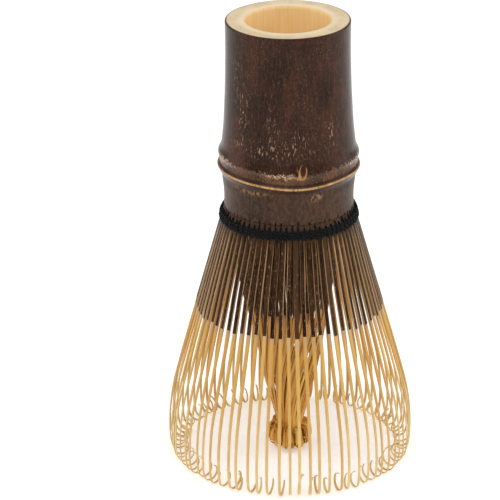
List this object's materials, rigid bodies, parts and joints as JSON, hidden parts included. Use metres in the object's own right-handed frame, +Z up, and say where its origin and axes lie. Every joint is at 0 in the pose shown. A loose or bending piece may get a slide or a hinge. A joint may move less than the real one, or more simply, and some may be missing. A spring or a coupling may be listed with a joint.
{
  "type": "bamboo tea whisk",
  "caption": "Bamboo tea whisk with an open tubular handle, a thread-bound neck, a flared ring of hooked outer tines and a tight bundle of curled inner tines.",
  "frame": {"origin": "on the surface that the tine tips stand on, on the handle's axis", "axes": "+Z up along the handle's axis, towards the open end of the handle; +X and +Y each run through the middle of a sector of outer tines"},
  "size_m": [0.0606, 0.0606, 0.112],
  "materials": {
    "culm_skin": "satin",
    "outer_tine": "satin",
    "inner_tine": "satin",
    "thread": "matte"
  },
  "bodies": {
    "handle": {"culm_handle": "culm_skin", "thread_outer_rows": "thread", "thread_inner_lacing": "thread"},
    "outer_tines_01": {"outer_tines_01": "outer_tine"},
    "outer_tines_02": {"outer_tines_02": "outer_tine"},
    "outer_tines_03": {"outer_tines_03": "outer_tine"},
    "outer_tines_04": {"outer_tines_04": "outer_tine"},
    "outer_tines_05": {"outer_tines_05": "outer_tine"},
    "outer_tines_06": {"outer_tines_06": "outer_tine"},
    "outer_tines_07": {"outer_tines_07": "outer_tine"},
    "outer_tines_08": {"outer_tines_08": "outer_tine"},
    "outer_tines_09": {"outer_tines_09": "outer_tine"},
    "outer_tines_10": {"outer_tines_10": "outer_tine"},
    "outer_tines_11": {"outer_tines_11": "outer_tine"},
    "outer_tines_12": {"outer_tines_12": "outer_tine"},
    "outer_tines_13": {"outer_tines_13": "outer_tine"},
    "outer_tines_14": {"outer_tines_14": "outer_tine"},
    "outer_tines_15": {"outer_tines_15": "outer_tine"},
    "outer_tines_16": {"outer_tines_16": "outer_tine"},
    "outer_tines_17": {"outer_tines_17": "outer_tine"},
    "outer_tines_18": {"outer_tines_18": "outer_tine"},
    "outer_tines_19": {"outer_tines_19": "outer_tine"},
    "outer_tines_20": {"outer_tines_20": "outer_tine"},
    "outer_tines_21": {"outer_tines_21": "outer_tine"},
    "outer_tines_22": {"outer_tines_22": "outer_tine"},
    "outer_tines_23": {"outer_tines_23": "outer_tine"},
    "outer_tines_24": {"outer_tines_24": "outer_tine"},
    "inner_tines_01": {"inner_tines_01": "inner_tine"},
    "inner_tines_02": {"inner_tines_02": "inner_tine"},
    "inner_tines_03": {"inner_tines_03": "inner_tine"},
    "inner_tines_04": {"inner_tines_04": "inner_tine"}
  },
  "joints": [
    {"name": "outer_flex_01", "type": "hinge", "parent": "handle", "child": "outer_tines_01", "pos_m": [0.0159, 0, 0.0633], "axis": [0, -1, 0], "range_deg": [-5, 3], "stiffness_Nm_per_rad": 0.011},
    {"name": "outer_flex_02", "type": "hinge", "parent": "handle", "child": "outer_tines_02", "pos_m": [0.01536, 0.00411, 0.0633], "axis": [0.2588, -0.9659, 0], "range_deg": [-5, 3], "stiffness_Nm_per_rad": 0.011},
    {"name": "outer_flex_03", "type": "hinge", "parent": "handle", "child": "outer_tines_03", "pos_m": [0.01377, 0.00795, 0.0633], "axis": [0.5, -0.866, 0], "range_deg": [-5, 3], "stiffness_Nm_per_rad": 0.011},
    {"name": "outer_flex_04", "type": "hinge", "parent": "handle", "child": "outer_tines_04", "pos_m": [0.01124, 0.01124, 0.0633], "axis": [0.7071, -0.7071, 0], "range_deg": [-5, 3], "stiffness_Nm_per_rad": 0.011},
    {"name": "outer_flex_05", "type": "hinge", "parent": "handle", "child": "outer_tines_05", "pos_m": [0.00795, 0.01377, 0.0633], "axis": [0.866, -0.5, 0], "range_deg": [-5, 3], "stiffness_Nm_per_rad": 0.011},
    {"name": "outer_flex_06", "type": "hinge", "parent": "handle", "child": "outer_tines_06", "pos_m": [0.00411, 0.01536, 0.0633], "axis": [0.9659, -0.2588, 0], "range_deg": [-5, 3], "stiffness_Nm_per_rad": 0.011},
    {"name": "outer_flex_07", "type": "hinge", "parent": "handle", "child": "outer_tines_07", "pos_m": [0, 0.0159, 0.0633], "axis": [1, 0, 0], "range_deg": [-5, 3], "stiffness_Nm_per_rad": 0.011},
    {"name": "outer_flex_08", "type": "hinge", "parent": "handle", "child": "outer_tines_08", "pos_m": [-0.00411, 0.01536, 0.0633], "axis": [0.9659, 0.2588, 0], "range_deg": [-5, 3], "stiffness_Nm_per_rad": 0.011},
    {"name": "outer_flex_09", "type": "hinge", "parent": "handle", "child": "outer_tines_09", "pos_m": [-0.00795, 0.01377, 0.0633], "axis": [0.866, 0.5, 0], "range_deg": [-5, 3], "stiffness_Nm_per_rad": 0.011},
    {"name": "outer_flex_10", "type": "hinge", "parent": "handle", "child": "outer_tines_10", "pos_m": [-0.01124, 0.01124, 0.0633], "axis": [0.7071, 0.7071, 0], "range_deg": [-5, 3], "stiffness_Nm_per_rad": 0.011},
    {"name": "outer_flex_11", "type": "hinge", "parent": "handle", "child": "outer_tines_11", "pos_m": [-0.01377, 0.00795, 0.0633], "axis": [0.5, 0.866, 0], "range_deg": [-5, 3], "stiffness_Nm_per_rad": 0.011},
    {"name": "outer_flex_12", "type": "hinge", "parent": "handle", "child": "outer_tines_12", "pos_m": [-0.01536, 0.00411, 0.0633], "axis": [0.2588, 0.9659, 0], "range_deg": [-5, 3], "stiffness_Nm_per_rad": 0.011},
    {"name": "outer_flex_13", "type": "hinge", "parent": "handle", "child": "outer_tines_13", "pos_m": [-0.0159, 0, 0.0633], "axis": [0, 1, 0], "range_deg": [-5, 3], "stiffness_Nm_per_rad": 0.011},
    {"name": "outer_flex_14", "type": "hinge", "parent": "handle", "child": "outer_tines_14", "pos_m": [-0.01536, -0.00411, 0.0633], "axis": [-0.2588, 0.9659, 0], "range_deg": [-5, 3], "stiffness_Nm_per_rad": 0.011},
    {"name": "outer_flex_15", "type": "hinge", "parent": "handle", "child": "outer_tines_15", "pos_m": [-0.01377, -0.00795, 0.0633], "axis": [-0.5, 0.866, 0], "range_deg": [-5, 3], "stiffness_Nm_per_rad": 0.011},
    {"name": "outer_flex_16", "type": "hinge", "parent": "handle", "child": "outer_tines_16", "pos_m": [-0.01124, -0.01124, 0.0633], "axis": [-0.7071, 0.7071, 0], "range_deg": [-5, 3], "stiffness_Nm_per_rad": 0.011},
    {"name": "outer_flex_17", "type": "hinge", "parent": "handle", "child": "outer_tines_17", "pos_m": [-0.00795, -0.01377, 0.0633], "axis": [-0.866, 0.5, 0], "range_deg": [-5, 3], "stiffness_Nm_per_rad": 0.011},
    {"name": "outer_flex_18", "type": "hinge", "parent": "handle", "child": "outer_tines_18", "pos_m": [-0.00411, -0.01536, 0.0633], "axis": [-0.9659, 0.2588, 0], "range_deg": [-5, 3], "stiffness_Nm_per_rad": 0.011},
    {"name": "outer_flex_19", "type": "hinge", "parent": "handle", "child": "outer_tines_19", "pos_m": [0, -0.0159, 0.0633], "axis": [-1, 0, 0], "range_deg": [-5, 3], "stiffness_Nm_per_rad": 0.011},
    {"name": "outer_flex_20", "type": "hinge", "parent": "handle", "child": "outer_tines_20", "pos_m": [0.00411, -0.01536, 0.0633], "axis": [-0.9659, -0.2588, 0], "range_deg": [-5, 3], "stiffness_Nm_per_rad": 0.011},
    {"name": "outer_flex_21", "type": "hinge", "parent": "handle", "child": "outer_tines_21", "pos_m": [0.00795, -0.01377, 0.0633], "axis": [-0.866, -0.5, 0], "range_deg": [-5, 3], "stiffness_Nm_per_rad": 0.011},
    {"name": "outer_flex_22", "type": "hinge", "parent": "handle", "child": "outer_tines_22", "pos_m": [0.01124, -0.01124, 0.0633], "axis": [-0.7071, -0.7071, 0], "range_deg": [-5, 3], "stiffness_Nm_per_rad": 0.011},
    {"name": "outer_flex_23", "type": "hinge", "parent": "handle", "child": "outer_tines_23", "pos_m": [0.01377, -0.00795, 0.0633], "axis": [-0.5, -0.866, 0], "range_deg": [-5, 3], "stiffness_Nm_per_rad": 0.011},
    {"name": "outer_flex_24", "type": "hinge", "parent": "handle", "child": "outer_tines_24", "pos_m": [0.01536, -0.00411, 0.0633], "axis": [-0.2588, -0.9659, 0], "range_deg": [-5, 3], "stiffness_Nm_per_rad": 0.011},
    {"name": "inner_flex_01", "type": "hinge", "parent": "handle", "child": "inner_tines_01", "pos_m": [0.0136, 0, 0.0633], "axis": [0, -1, 0], "range_deg": [0, 3], "stiffness_Nm_per_rad": 0.02},
    {"name": "inner_flex_02", "type": "hinge", "parent": "handle", "child": "inner_tines_02", "pos_m": [0, 0.0136, 0.0633], "axis": [1, 0, 0], "range_deg": [0, 3], "stiffness_Nm_per_rad": 0.02},
    {"name": "inner_flex_03", "type": "hinge", "parent": "handle", "child": "inner_tines_03", "pos_m": [-0.0136, 0, 0.0633], "axis": [0, 1, 0], "range_deg": [0, 3], "stiffness_Nm_per_rad": 0.02},
    {"name": "inner_flex_04", "type": "hinge", "parent": "handle", "child": "inner_tines_04", "pos_m": [0, -0.0136, 0.0633], "axis": [-1, 0, 0], "range_deg": [0, 3], "stiffness_Nm_per_rad": 0.02}
  ]
}
